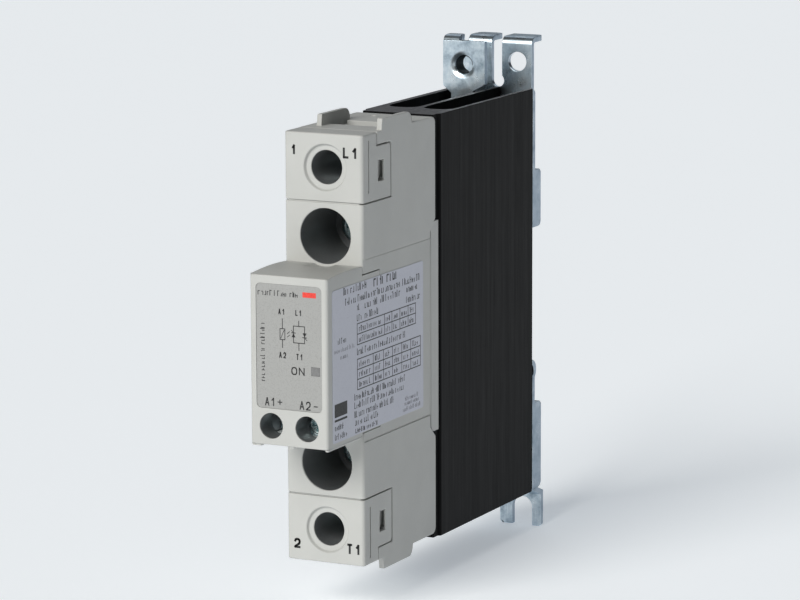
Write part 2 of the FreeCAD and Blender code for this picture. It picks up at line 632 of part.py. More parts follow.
def latch_spring():
    """Compression spring between the bracket's seat and the latch's lug."""
    wire_r, coil_r, turns, play = 0.35, 1.75, 8, 0.05
    height = SPRING_Z[1] - SPRING_Z[0] - 2 * (wire_r + play)
    helix = Part.makeHelix(height / turns, height, coil_r)
    ring = Part.Wire(Part.makeCircle(wire_r, Vector(coil_r, 0, 0), Vector(0, 1, 0)))
    coil = Part.Wire(helix).makePipeShell([ring], True, True)
    return coil.translated(Vector(*SPRING_XY, SPRING_Z[0] + wire_r + play))


# everything ---------------------------------------------------------------------------------
def save_power_end(name, turn):
    """Terminal cover, moulding, busbar, screw and washer of one power end."""
    save({"line": "upper", "load": "lower"}[name] + "_terminal_cover", turn(terminal_cover()))
    save({"line": "upper", "load": "lower"}[name] + "_power_insert", turn(power_insert()))
    save(name + "_busbar", turn(busbar()))
    save(name + "_screw", turn(pan_screw(AXIS_X, TERMINAL_Z, 15.6, (3.3, 2.5), M4_R, 7.4)))
    save(name + "_clamp_washer",
         turn(clamp_washer(AXIS_X, TERMINAL_Z, 18.15, 4.5, 1.8, M4_R + 0.06)))


def save_control_terminal(name, x, face_y):
    save(name + "_terminal", control_terminal(x))
    save(name + "_screw", pan_screw(x, CONTROL_Z, face_y, (2.4, 1.7), M3_R, 5.8))
    save(name + "_clamp_washer",
         clamp_washer(x, CONTROL_Z, face_y + 1.75, 2.8, 1.2, M3_R + 0.05))


def save_all():
    save("housing_shell", housing_shell())
    save_power_end("line", lambda s: s)
    save_power_end("load", mirrored)
    save("control_cover", control_cover())
    save("control_insert", control_insert())
    save_control_terminal("a1", -CONTROL_X, -8.0)
    save_control_terminal("a2", CONTROL_X, -10.4)
    save("front_label", front_label())
    save("side_label", side_label())
    save("light_pipe", light_pipe())
    save("status_led", status_led())
    save("front_board", front_board())
    save("driver_board", driver_board())
    save("optocoupler", optocoupler())
    save("varistor", varistor())
    save("gate_pins", Part.makeCompound(gate_pins()))
    save("thyristor_chips", Part.makeCompound(thyristor_chips()))
    save("ceramic_substrate", ceramic_substrate())
    save("base_plate", base_plate())
    save("thermal_pad", thermal_pad())
    save("rear_frame", rear_frame())
    save("module_screws", Part.makeCompound(
        [pan_screw(AXIS_X, z, 13.5, (3.5, 2.5), M4_R, 25.0) for z in fixing_zs()]))
    save("heatsink", heatsink())
    save("rail_bracket", rail_bracket())
    save("bracket_rivet", headed_pin(66.0, 0.02))
    save("guide_pins", Part.makeCompound([headed_pin(z, PLAY + 0.05) for z in PIN_ZS]))
    save("rail_latch", rail_latch())
    save("latch_spring", latch_spring())


save_all()
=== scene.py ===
"""Looks of a one-module-wide solid state relay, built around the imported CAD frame.

Lengths are given in bench millimetres, the coordinates part.py draws in: X across, Y back from the
terminal faces, Z up from the housing's foot. at() turns them into the frame's metres.
"""
import json
import math
import random

import bmesh
import bpy
from mathutils import Matrix, Vector
from mathutils.bvhtree import BVHTree


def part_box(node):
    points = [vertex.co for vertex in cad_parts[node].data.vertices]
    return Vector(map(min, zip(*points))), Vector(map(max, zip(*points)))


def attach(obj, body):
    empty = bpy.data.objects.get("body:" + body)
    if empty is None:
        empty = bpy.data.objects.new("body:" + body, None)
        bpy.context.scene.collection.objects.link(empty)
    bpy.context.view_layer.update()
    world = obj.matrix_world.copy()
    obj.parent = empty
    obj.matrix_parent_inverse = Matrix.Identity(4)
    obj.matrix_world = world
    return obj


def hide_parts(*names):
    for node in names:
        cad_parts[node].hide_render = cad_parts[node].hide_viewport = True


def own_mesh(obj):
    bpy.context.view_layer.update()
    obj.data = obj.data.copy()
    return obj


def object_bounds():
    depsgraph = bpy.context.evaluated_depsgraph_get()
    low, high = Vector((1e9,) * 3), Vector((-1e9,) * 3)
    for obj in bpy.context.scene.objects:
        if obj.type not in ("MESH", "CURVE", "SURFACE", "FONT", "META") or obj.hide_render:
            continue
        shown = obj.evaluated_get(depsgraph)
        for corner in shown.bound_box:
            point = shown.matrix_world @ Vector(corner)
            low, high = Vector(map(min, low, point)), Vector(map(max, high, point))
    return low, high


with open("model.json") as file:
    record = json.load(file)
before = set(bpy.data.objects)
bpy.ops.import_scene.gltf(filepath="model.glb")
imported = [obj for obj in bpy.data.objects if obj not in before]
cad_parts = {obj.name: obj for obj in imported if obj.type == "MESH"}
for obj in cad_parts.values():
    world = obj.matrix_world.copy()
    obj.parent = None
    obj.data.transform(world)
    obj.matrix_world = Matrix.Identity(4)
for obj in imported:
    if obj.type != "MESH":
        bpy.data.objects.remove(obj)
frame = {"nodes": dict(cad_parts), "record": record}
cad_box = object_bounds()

SEAT_Y, SEAT_Z = 85.0, 40.7       # the frame's origin in bench coordinates
NOSE_Y = -15.5
LABEL_FACE_Y = NOSE_Y + 0.12
SIDE_FACE_X = 8.86
INK = 0.012                       # how far printed marks stand out
INK_ROOT = -0.004                 # and how far they reach in
FLOOR_HALF = 60.0                 # metres
CORNER_THROW = 0.42               # farthest a true bevelled corner lies off the surface, in widths
EDGE_ANGLE, SMOOTH_ANGLE = 32, 50 # degrees: edges sharper than the first are broken, and
                                  # faces nearer in angle than the second shade smoothly
ON_SURFACE = 0.03                 # nearer than this, in widths, a face lies on the surface
record = frame["record"]
bodies = record["behaviour"]["bodies"]
body_of = {node: body for body, nodes in bodies.items() for node in nodes}


def at(x, y, z):
    return Vector((x, y - SEAT_Y, z - SEAT_Z)) / 1000


# ---------------------------------------------------------------- materials
def new_material(name, colour, rough, metallic=0.0):
    m = bpy.data.materials.new(name)
    m.use_nodes = True
    shader = m.node_tree.nodes["Principled BSDF"]
    shader.inputs["Base Color"].default_value = (*colour, 1)
    shader.inputs["Roughness"].default_value = rough
    shader.inputs["Metallic"].default_value = metallic
    return m


class Nodes:
    """Short calls for building one material's nodes."""

    def __init__(self, material):
        self.tree = material.node_tree
        self.shader = self.tree.nodes["Principled BSDF"]
        self.place = self.add("ShaderNodeTexCoord").outputs["Object"]

    def add(self, kind, **props):
        node = self.tree.nodes.new(kind)
        for key, value in props.items():
            setattr(node, key, value)
        return node

    def link(self, a, b):
        self.tree.links.new(a, b)

    def stretched(self, scale):
        mapping = self.add("ShaderNodeMapping")
        mapping.inputs["Scale"].default_value = scale
        self.link(self.place, mapping.inputs["Vector"])
        return mapping.outputs["Vector"]

    def noise(self, size_mm, detail=2.0, rough=0.5, stretch=None):
        node = self.add("ShaderNodeTexNoise")
        node.inputs["Scale"].default_value = 1000 / size_mm
        node.inputs["Detail"].default_value = detail
        node.inputs["Roughness"].default_value = rough
        self.link(self.stretched(stretch) if stretch else self.place, node.inputs["Vector"])
        return node.outputs["Fac"]

    def cells(self, size_mm, stretch=None, output="Color"):
        node = self.add("ShaderNodeTexVoronoi")
        node.inputs["Scale"].default_value = 1000 / size_mm
        self.link(self.stretched(stretch) if stretch else self.place, node.inputs["Vector"])
        return node.outputs[output]

    def spread(self, value, low, high, to_low=0.0, to_high=1.0):
        node = self.add("ShaderNodeMapRange")
        for key, number in (("From Min", low), ("From Max", high), ("To Min", to_low),
                            ("To Max", to_high)):
            node.inputs[key].default_value = number
        self.link(value, node.inputs["Value"])
        return node.outputs["Result"]

    def maths(self, kind, a, b):
        node = self.add("ShaderNodeMath", operation=kind)
        for socket, value in zip(node.inputs, (a, b)):
            if isinstance(value, (int, float)):
                socket.default_value = value
            else:
                self.link(value, socket)
        return node.outputs[0]

    def ramp(self, value, stops):
        node = self.add("ShaderNodeValToRGB")
        for extra in range(len(stops) - 2):
            node.color_ramp.elements.new(0.5)
        for element, (place, colour) in zip(node.color_ramp.elements, stops):
            element.position = place
            element.color = (*colour, 1)
        self.link(value, node.inputs["Fac"])
        return node.outputs["Color"]

    def mix(self, factor, a, b):
        node = self.add("ShaderNodeMix", data_type="RGBA")
        for socket, value in ((node.inputs[0], factor), (node.inputs[6], a), (node.inputs[7], b)):
            if isinstance(value, tuple):
                socket.default_value = (*value, 1)
            elif isinstance(value, (int, float)):
                socket.default_value = value
            else:
                self.link(value, socket)
        return node.outputs[2]

    def colour(self, value):
        self.link(value, self.shader.inputs["Base Color"])

    def roughness(self, value):
        self.link(value, self.shader.inputs["Roughness"])

    def bump(self, height, depth_mm, strength=1.0, under=None):
        node = self.add("ShaderNodeBump")
        node.inputs["Strength"].default_value = strength
        node.inputs["Distance"].default_value = depth_mm / 1000
        self.link(height, node.inputs["Height"])
        if under is not None:
            self.link(under, node.inputs["Normal"])
        self.link(node.outputs["Normal"], self.shader.inputs["Normal"])
        return node.outputs["Normal"]

    def facing(self, axis):
        """How squarely the surface faces along an axis, either way, from 0 to 1."""
        geometry = self.add("ShaderNodeNewGeometry")
        split = self.add("ShaderNodeSeparateXYZ")
        self.link(geometry.outputs["True Normal"], split.inputs[0])
        return self.maths("ABSOLUTE", split.outputs["XYZ".index(axis)], 0.0)


def moulded(name, colour, rough, grain_mm=0.16, depth_mm=0.006, spread=0.03):
    """Moulded plastic with an eroded fine texture and a slight unevenness of tone."""
    m = new_material(name, colour, rough)
    n = Nodes(m)
    darker = tuple(c * (1 - spread) for c in colour)
    lighter = tuple(min(1.0, c * (1 + spread)) for c in colour)
    cloud = n.noise(9.0, 3.0)
    fleck = n.spread(n.noise(0.11, 2.0), 0.62, 0.78, 0.0, 0.5)
    base = n.mix(n.spread(cloud, 0.3, 0.7), darker, lighter)
    n.colour(n.mix(fleck, base, tuple(c * 0.86 for c in colour)))
    n.roughness(n.spread(n.noise(0.5, 3.0), 0.3, 0.7, rough - 0.06, rough + 0.07))
    n.bump(n.noise(grain_mm, 3.0, 0.6), depth_mm, 0.8)
    return m


def speckled_film(name, colour, rough, metallic=0.0, fleck=0.8, size_mm=0.22):
    m = new_material(name, colour, rough, metallic)
    n = Nodes(m)
    speck = n.spread(n.noise(size_mm, 1.0), 0.52, 0.7)
    n.colour(n.mix(n.maths("MULTIPLY", speck, 0.75), colour, tuple(c * fleck for c in colour)))
    n.roughness(n.spread(n.noise(1.5, 2.0), 0.3, 0.7, rough - 0.05, rough + 0.06))
    n.bump(n.noise(0.4, 2.0), 0.002, 0.6)
    return m


def zinc(name, colour, rough, patch_mm, tint, deep, sideways_shade=None):
    """Blue-passivated zinc plate: cloudy patches that differ in tone and gloss, fine rolling lines, and
    painted shade on faces that look sideways.
    """
    m = new_material(name, colour, rough, 1.0)
    n = Nodes(m)
    patch = n.noise(patch_mm, 5.0, 0.62)
    bright = tuple(min(1, c * 1.2) for c in colour)
    tone = n.ramp(patch, [(0.30, deep), (0.47, tint), (0.60, colour), (0.78, bright)])
    lines = n.noise(0.25, 2.0, 0.5, stretch=(1.0, 1.0, 0.06))
    sheet = n.mix(n.spread(lines, 0.35, 0.65, 0.0, 0.22), tone, deep)
    # painted shade and painted reflection: faces that look sideways get a darker colour, standing in for
    # the darker things they would mirror
    n.colour(n.mix(n.spread(n.facing("X"), 0.7, 0.95, 0.0, 0.8), sheet, sideways_shade or deep))
    n.roughness(n.spread(patch, 0.25, 0.75, rough + 0.16, rough - 0.10))
    n.bump(n.maths("ADD", lines, n.noise(0.9, 3.0)), 0.012, 0.55)
    return m


def plated(name, colour, rough, size_mm=0.6):
    m = new_material(name, colour, rough, 1.0)
    n = Nodes(m)
    cloud = n.noise(size_mm * 4, 3.0)
    n.colour(n.mix(n.spread(cloud, 0.3, 0.7), tuple(c * 0.82 for c in colour), colour))
    n.roughness(n.spread(n.noise(size_mm, 3.0), 0.3, 0.7, rough - 0.07, rough + 0.1))
    n.bump(n.noise(size_mm * 0.5, 2.0), 0.003, 0.5)
    return m


def anodised():
    """Black anodised extrusion: fine lines along its length, and paler sawn ends."""
    colour = (0.0105, 0.0105, 0.0115)
    m = new_material("black_anodised", colour, 0.42)
    m.node_tree.nodes["Principled BSDF"].inputs["Specular IOR Level"].default_value = 0.06
    n = Nodes(m)
    ends = n.spread(n.facing("Z"), 0.6, 0.9)
    lines = n.noise(0.9, 4.0, 0.6, stretch=(1.0, 1.0, 0.012))
    fine = n.noise(0.22, 2.0, 0.6, stretch=(1.0, 1.0, 0.02))
    dust = n.spread(n.noise(0.35, 2.0), 0.66, 0.8, 0.0, 0.35)
    wall = n.mix(n.spread(lines, 0.3, 0.7), (0.0042, 0.0042, 0.0046), (0.0056, 0.0056, 0.006))
    saw = n.noise(0.35, 3.0, 0.65, stretch=(1.0, 0.10, 1.0))
    cut = n.mix(n.spread(saw, 0.3, 0.7), (0.075, 0.075, 0.08), (0.17, 0.17, 0.178))
    n.colour(n.mix(ends, n.mix(dust, wall, (0.03, 0.03, 0.032)), cut))
    n.roughness(n.spread(n.maths("ADD", lines, fine), 0.7, 1.3, 0.36, 0.55))
    first = n.bump(n.maths("ADD", lines, n.maths("MULTIPLY", fine, 0.5)), 0.010, 0.3)
    n.bump(n.maths("MULTIPLY", saw, ends), 0.03, 0.5, under=first)
    return m


def clear(name, colour, rough):
    m = new_material(name, colour, rough)
    n = Nodes(m)
    n.colour(n.mix(n.spread(n.noise(0.5, 2.0), 0.3, 0.7), tuple(c * 0.85 for c in colour), colour))
    n.roughness(n.spread(n.noise(0.8, 2.0), 0.3, 0.7, rough, rough + 0.08))
    return m


def board():
    """Green solder mask over copper tracks that show as slightly lighter lines."""
    m = new_material("circuit_board", (0.02, 0.13, 0.05), 0.35)
    n = Nodes(m)
    track = n.spread(n.cells(1.6, output="Distance"), 0.30, 0.34)
    n.colour(n.mix(track, (0.012, 0.09, 0.035), (0.03, 0.19, 0.07)))
    n.roughness(n.spread(n.noise(1.0), 0.3, 0.7, 0.28, 0.42))
    n.bump(track, 0.03, 0.5)
    return m


def ink(name, colour, rough=0.5):
    m = new_material(name, colour, rough)
    n = Nodes(m)
    n.colour(n.mix(n.spread(n.noise(0.3, 2.0), 0.35, 0.65), colour,
                   tuple(min(1.0, c * 1.25 + 0.004) for c in colour)))
    n.roughness(n.spread(n.noise(0.4, 2.0), 0.3, 0.7, rough - 0.08, rough + 0.08))
    return m


GREY = (0.55, 0.552, 0.53)
MATERIALS = {
    "housing_plastic": moulded("housing_plastic", GREY, 0.50),
    "dark_plastic": moulded("dark_plastic", (0.165, 0.172, 0.176), 0.34, spread=0.1),
    "front_label_film": speckled_film("front_label_film", (0.38, 0.38, 0.37), 0.48),
    "side_label_film": speckled_film("side_label_film", (0.56, 0.57, 0.64), 0.38, 0.25, 0.93, 0.3),
    "light_pipe": clear("light_pipe", (0.22, 0.22, 0.22), 0.18),
    "led": clear("led", (0.7, 0.7, 0.66), 0.15),
    "circuit_board": board(),
    "component_black": moulded("component_black", (0.012, 0.012, 0.013), 0.45, 0.1),
    "varistor_coat": moulded("varistor_coat", (0.02, 0.06, 0.28), 0.28, 0.5, 0.01, 0.12),
    "tinned_metal": plated("tinned_metal", (0.72, 0.72, 0.69), 0.30),
    "silicon": plated("silicon", (0.16, 0.16, 0.2), 0.12),
    "ceramic": moulded("ceramic", (0.80, 0.79, 0.75), 0.5, 0.1, 0.003),
    "nickel_plate": plated("nickel_plate", (0.62, 0.59, 0.53), 0.28),
    "thermal_pad": moulded("thermal_pad", (0.10, 0.105, 0.11), 0.6, 0.3, 0.006, 0.1),
    # zinc's last colour is painted shade for faces that look sideways; zinc_screw, given none, uses its
    # deep tone for that painted shade
    "zinc_screw": zinc("zinc_screw", (0.80, 0.92, 0.92), 0.26, 0.9, (0.50, 0.66, 0.68), (0.2, 0.32, 0.34)),
    "black_anodised": anodised(),
    "zinc_sheet": zinc("zinc_sheet", (0.76, 0.84, 0.89), 0.30, 3.0, (0.60, 0.70, 0.77), (0.28, 0.36, 0.43),
                       (0.25, 0.31, 0.38)),
    "spring_steel": plated("spring_steel", (0.48, 0.48, 0.47), 0.25, 0.3),
}
TAPPED = plated("tapped_thread", (0.10, 0.115, 0.125), 0.45, 0.3)
BLACK_INK = ink("black_print", (0.012, 0.012, 0.013))
GREY_INK = ink("grey_print", (0.030, 0.030, 0.031))
FAINT_INK = ink("faint_print", (0.17, 0.17, 0.20))
RED_INK = ink("red_print", (0.72, 0.05, 0.035))

slot_of = {part["node"]: part["material_slot"] for part in record["subparts"]}
for node, thing in frame["nodes"].items():
    thing.data.materials.clear()
    thing.data.materials.append(MATERIALS[slot_of[node]])


# ---------------------------------------------------------------- meshes
def piece(name, mesh, material, body, stands_for=()):
    """A new visible piece that rides on a body and takes the material it is given."""
    thing = bpy.data.objects.new(name, mesh)
    bpy.context.scene.collection.objects.link(thing)
    mesh.materials.clear()
    mesh.materials.append(material)
    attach(thing, body)
    if stands_for:
        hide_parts(*stands_for)
    return thing


def to_mesh(name, bm, smooth_angle=None):
    mesh = bpy.data.meshes.new(name)
    bmesh.ops.recalc_face_normals(bm, faces=bm.faces)
    bm.to_mesh(mesh)
    bm.free()
    if smooth_angle is not None:
        mesh.shade_smooth()
        mesh.set_sharp_from_angle(angle=math.radians(smooth_angle))
    return mesh


def lean_normals(mesh, surface, near):
    """Leans each smooth corner to its largest face, so flats stay flat beside softened edges.

    A face that lies on the part's own surface takes that surface's normal and the side it faces.
    """
    own = []
    for face in mesh.polygons:
        _, normal, _, gap = surface.find_nearest(face.center)
        if gap > near:
            normal = face.normal.copy()
        elif normal.dot(face.normal) < 0:
            face.flip()
        own.append(normal)
    mesh.update()
    around = [[] for _ in mesh.vertices]
    for face, normal in zip(mesh.polygons, own):
        for v in face.vertices:
            around[v].append((normal, face.area))
    nearly = math.cos(math.radians(SMOOTH_ANGLE))
    normals = [None] * len(mesh.loops)
    for face, normal in zip(mesh.polygons, own):
        for loop, v in zip(face.loop_indices, face.vertices):
            total = Vector()
            for other, area in around[v]:
                if other.dot(normal) > nearly:
                    total += other * area
            normals[loop] = (total if total.length > 0 else normal).normalized()
    mesh.normals_split_custom_set(normals)


def within(region, spot):
    return all(a <= c <= b for c, a, b in zip(spot, *region))


def softened(node, name, width_mm, crisp=None):
    """The CAD part with its sharp edges broken, as a moulding or a stamping has them.

    Edges that lie inside the crisp region stay as they are.
    """
    whole = bmesh.new()
    whole.from_mesh(frame["nodes"][node].data)
    bmesh.ops.remove_doubles(whole, verts=whole.verts, dist=2e-6)
    surface = BVHTree.FromBMesh(whole)
    low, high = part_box(node)
    sharp = [e for e in whole.edges if len(e.link_faces) == 2
             and e.calc_face_angle(0) > math.radians(EDGE_ANGLE)
             and not (crisp and all(within(crisp, v.co) for v in e.verts))]
    bmesh.ops.bevel(whole, geom=sharp, offset=width_mm / 1000, offset_type="OFFSET",
                    segments=2, profile=0.5, affect="EDGES", clamp_overlap=False,
                    loop_slide=True)
    # a corner that the bevel threw out goes back to the part's own surface
    for vertex in whole.verts:
        spot, _, _, gap = surface.find_nearest(vertex.co)
        if gap > CORNER_THROW * width_mm / 1000:
            vertex.co = spot
        vertex.co = Vector(min(max(c, a), b) for c, a, b in zip(vertex.co, low, high))
    mesh = to_mesh(name, whole, SMOOTH_ANGLE)
    lean_normals(mesh, surface, ON_SURFACE * width_mm / 1000)
    return piece(name, mesh, MATERIALS[slot_of[node]], body_of[node], (node,))


SOFT = (("housing_shell", "housing_moulding", 0.18), ("control_cover", "control_moulding", 0.18),
        ("upper_terminal_cover", "upper_cover_moulding", 0.18),
        ("lower_terminal_cover", "lower_cover_moulding", 0.18),
        ("rail_bracket", "rail_bracket_sheet", 0.12), ("rail_latch", "rail_latch_sheet", 0.12),
        ("heatsink", "heatsink_extrusion", 0.12), ("module_screws", "fixing_screws", 0.08),
        ("line_screw", "line_clamp_screw", 0.08), ("load_screw", "load_clamp_screw", 0.08),
        ("a1_screw", "a1_clamp_screw", 0.06), ("a2_screw", "a2_clamp_screw", 0.06),
        ("upper_power_insert", "upper_insert_moulding", 0.10),
        ("lower_power_insert", "lower_insert_moulding", 0.10),
        ("control_insert", "control_insert_moulding", 0.10))
# breaking the rims in the module's face would fold its thin triangles, so they stay crisp
MODULE_FACE = (at(-7.9, NOSE_Y - 0.1, 28.2), at(7.9, NOSE_Y + 1.6, 61.3))
for node, name, width in SOFT:
    softened(node, name, width, crisp=MODULE_FACE if node == "control_cover" else None)


# ---------------------------------------------------------------- printed marks
def on_front(y):
    """Places label coordinates (across, up, out) on a face that looks forward."""
    return lambda u, v, out: at(u, y - out, v)


def on_side(x, back, up):
    """Places label coordinates on the right-hand side, counted from the label's lower front corner."""
    return lambda u, v, out: at(x + out, back + u, up + v)


def prisms(name, shapes, place, material, body):
    """Flat printed shapes, each a closed prism a hair thick that sits in its surface."""
    bm = bmesh.new()
    for corners in shapes:
        low = [bm.verts.new(place(u, v, INK_ROOT)) for u, v in corners]
        high = [bm.verts.new(place(u, v, INK)) for u, v in corners]
        bm.faces.new(low)
        bm.faces.new(high)
        for i in range(len(corners)):
            j = (i + 1) % len(corners)
            bm.faces.new((low[i], low[j], high[j], high[i]))
    return piece(name, to_mesh(name, bm), material, body)


def bar(u0, v0, u1, v1):
    return [(u0, v0), (u1, v0), (u1, v1), (u0, v1)]


def stroke(a, b, width):
    """A straight line of a given width between two points."""
    run = Vector(b) - Vector(a)
    side = Vector((-run.y, run.x)).normalized() * width / 2
    a, b = Vector(a), Vector(b)
    return [tuple(a - side), tuple(b - side), tuple(b + side), tuple(a + side)]


GLYPHS = {
    "1": [[(0.12, 0.72), (0.62, 1), (0.62, 0)]],
    "2": [[(0, 0.76), (0.12, 0.93), (0.35, 1), (0.65, 1), (0.88, 0.93), (1, 0.76), (0.97, 0.56),
           (0.8, 0.4), (0.2, 0.14), (0, 0), (1, 0)]],
    "A": [[(0, 0), (0.5, 1), (1, 0)], [(0.2, 0.32), (0.8, 0.32)]],
    "L": [[(0, 1), (0, 0), (1, 0)]],
    "T": [[(0, 1), (1, 1)], [(0.5, 1), (0.5, 0)]],
    "N": [[(0, 0), (0, 1), (1, 0), (1, 1)]],
    "O": [[(0.3, 0), (0.08, 0.12), (0, 0.35), (0, 0.65), (0.08, 0.88), (0.3, 1), (0.7, 1), (0.92, 0.88),
           (1, 0.65), (1, 0.35), (0.92, 0.12), (0.7, 0), (0.3, 0)]],
    "+": [[(0, 0.5), (1, 0.5)], [(0.5, 0), (0.5, 1)]],
}


def text_mark(name, words, region, place, material, body, pen):
    """Generic lettering in single strokes, fitted to a region (left, low, right, high)."""
    left, low, right, high = region
    gap = pen * 1.5
    wide = (right - left - gap * (len(words) - 1)) / len(words)
    shapes = []
    for i, letter in enumerate(words):
        u0, u1 = left + i * (wide + gap) + pen / 2, left + i * (wide + gap) + wide - pen / 2
        v0, v1 = low + pen / 2, high - pen / 2
        for line in GLYPHS[letter]:
            spots = [Vector((u0 + u * (u1 - u0), v0 + v * (v1 - v0))) for u, v in line]
            for a, b in zip(spots, spots[1:]):
                # each stroke runs on a little, to fill the corner it makes with the next
                more = (b - a).normalized() * pen * 0.4
                shapes.append(stroke(a - more, b + more, pen))
    return prisms(name, shapes, place, material, body)


def greeked(chance, left, base, right, height, gap=0.9):
    """Strokes that stand in for a line of small print without being letters."""
    shapes, u = [], left
    pen = height * 0.15
    while u < right - height * 0.5:
        word = chance.randint(2, 7)
        for _ in range(word):
            wide = height * chance.uniform(0.30, 0.52)
            if u + wide > right:
                break
            tall = height * chance.choice((0.68, 0.72, 1.0))
            kind = chance.randint(0, 4)
            if kind != 1:
                shapes.append(bar(u, base, u + pen, base + tall))
            if kind in (1, 2):
                shapes.append(bar(u + wide - pen, base, u + wide, base + tall * 0.8))
            if kind != 4:
                level = base + tall * chance.choice((0.0, 0.42, 0.84))
                shapes.append(bar(u + pen * 0.6, level, u + wide - pen * 0.4, level + pen * 0.95))
            u += wide + height * 0.14
        u += height * gap * 0.42
    return shapes


def terminal_marks():
    place = on_front(0.0)
    pen = 0.47
    for body, words, region in (("upper_cover", "1", (-7.15, 84.3, -6.2, 86.35)),
                                ("upper_cover", "L1", (4.5, 84.15, 7.85, 86.4)),
                                ("lower_cover", "2", (-7.3, 2.45, -5.8, 4.55)),
                                ("lower_cover", "T1", (4.95, 2.4, 8.05, 4.6))):
        text_mark("mark_" + words, words, region, place, BLACK_INK, body, pen)


def front_print():
    place, slot, body = on_front(LABEL_FACE_Y), "front_label_film", "relay"
    for name, words, region in (("A1", "A1", (-5.5, 35.4, -3.15, 37.15)),
                                ("plus", "+", (-2.65, 35.8, -1.55, 36.9)),
                                ("A2", "A2", (2.35, 35.2, 4.85, 37.0)),
                                ("ON", "ON", (0.55, 42.2, 3.55, 43.8)),
                                ("small_A1", "A1", (-2.3, 54.25, -0.85, 55.45)),
                                ("small_L1", "L1", (1.55, 54.25, 2.95, 55.45)),
                                ("small_A2", "A2", (-2.2, 45.4, -0.6, 46.65)),
                                ("small_T1", "T1", (1.7, 45.3, 3.15, 46.55))):
        pen = 0.15 + 0.06 * (region[3] - region[1])
        text_mark("print_" + name, words, region, place, GREY_INK, body, pen)
    pen = 0.17
    left, right, low, high = 1.1, 3.6, 48.75, 52.15
    lines = [stroke((-1.4, 53.5), (-1.4, 51.4), pen), stroke((-1.4, 49.2), (-1.4, 47.5), pen),
             stroke((-1.95, 51.4), (-0.85, 51.4), pen), stroke((-1.95, 49.2), (-0.85, 49.2), pen),
             stroke((-1.95, 49.12), (-1.95, 51.48), pen), stroke((-0.85, 49.12), (-0.85, 51.48), pen),
             stroke((-1.8, 49.4), (-1.0, 51.2), pen * 0.8),
             stroke((2.3, 53.3), (2.3, high), pen), stroke((2.3, low), (2.3, 47.2), pen),
             stroke((left, high), (right, high), pen), stroke((left, low), (right, low), pen),
             stroke((left, low - 0.08), (left, high + 0.08), pen),
             stroke((right, low - 0.08), (right, high + 0.08), pen),
             stroke((left - 0.5, 50.75), (left + 0.5, 50.75), pen),
             stroke((left, 50.75), (left - 0.5, 51.3), pen * 0.8),
             stroke((right - 0.5, 49.95), (right + 0.5, 49.95), pen),
             stroke((right, 49.95), (right + 0.55, 49.35), pen * 0.8),
             stroke((-0.35, 50.45), (0.25, 50.95), pen * 0.8),
             stroke((-0.35, 49.75), (0.25, 50.25), pen * 0.8),
             # the minus sign after A2
             stroke((5.55, 36.1), (6.45, 36.1), 0.24),
             [(left - 0.45, 49.85), (left + 0.45, 49.85), (left, 50.7)],
             [(right - 0.45, 50.85), (right, 50.0), (right + 0.45, 50.85)]]
    chance = random.Random(11)
    lines += greeked(chance, -6.95, 57.95, 2.2, 1.15, 0.6)
    # the upright line of small print, turned a quarter left
    lines += [[(-5.45 - v, u) for u, v in shape]
              for shape in greeked(chance, 40.4, 0.0, 52.6, 1.05)]
    prisms("front_print", lines, place, GREY_INK, body)
    prisms("front_accent", [bar(3.2, 58.1, 6.2, 59.15)], place, RED_INK, body)


# lines of small print on the side label: (left, base, right, height)
SIDE_LINES = (
    (18.3, 29.2, 29.6, 2.3), (4.9, 29.5, 15.3, 1.5), (5.7, 27.3, 39.7, 1.45),
    (10.8, 25.5, 12.8, 1.3), (14.3, 25.4, 31.4, 1.45), (33.4, 25.6, 38.8, 1.4),
    (10.8, 23.3, 12.8, 1.3), (14.3, 23.3, 21.3, 1.45), (33.2, 23.4, 39.8, 1.35),
    (10.8, 16.3, 33.3, 1.4), (9.5, 7.2, 33.2, 1.35), (9.5, 5.45, 32.7, 1.35),
    (9.5, 3.6, 27.2, 1.35), (9.6, 1.95, 20.9, 1.35), (9.9, 0.35, 20.6, 1.3),
    (2.4, 19.9, 6.6, 1.2), (0.9, 2.5, 5.2, 1.2), (0.9, 0.6, 6.9, 1.2))
SIDE_FAINT_LINES = ((0.9, 18.2, 9.8), (3.4, 16.7, 6.9), (32.4, 2.9, 38.8), (32.4, 1.9, 39.7),
                    (31.6, 0.7, 40.2))


def side_print():
    place, slot, body = on_side(SIDE_FACE_X, -13.5, 28.3), "side_label_film", "relay"
    chance = random.Random(23)
    dark, faint = [], []
    for left, base, right, height in SIDE_LINES:
        dark += greeked(chance, left, base, right, height)
    for left, base, right in SIDE_FAINT_LINES:
        faint += greeked(chance, left, base, right, 0.9)
    for grid, uprights in (((10.9, 37.6, (22.75, 20.6, 18.45)), (23.2, 26.6, 30.3, 34.1)),
                           ((10.9, 39.85, (15.45, 13.35, 11.3, 9.2)), (18.0, 22.7, 26.8, 31.1, 35.3))):
        left, right, levels = grid
        for level in levels:
            dark.append(stroke((left, level), (right, level), 0.2))
        for u in (left,) + uprights + (right,):
            dark.append(stroke((u, levels[0] + 0.1), (u, levels[-1] - 0.1), 0.2))
        for level in levels[1:]:
            cells = (left,) + uprights + (right,)
            for a, b in zip(cells, cells[1:]):
                inset = min(0.8, (b - a) * 0.18)
                dark += greeked(chance, a + inset, level + 0.45, b - inset, 1.2)
    # plain dark panels where the real label carries approval marks
    dark += [bar(0.8, 4.3, 6.3, 4.75), bar(0.8, 5.2, 6.3, 7.9)]
    prisms("side_print", dark, place, BLACK_INK, body)
    prisms("side_print_faint", faint, place, FAINT_INK, body)


terminal_marks()
front_print()
side_print()


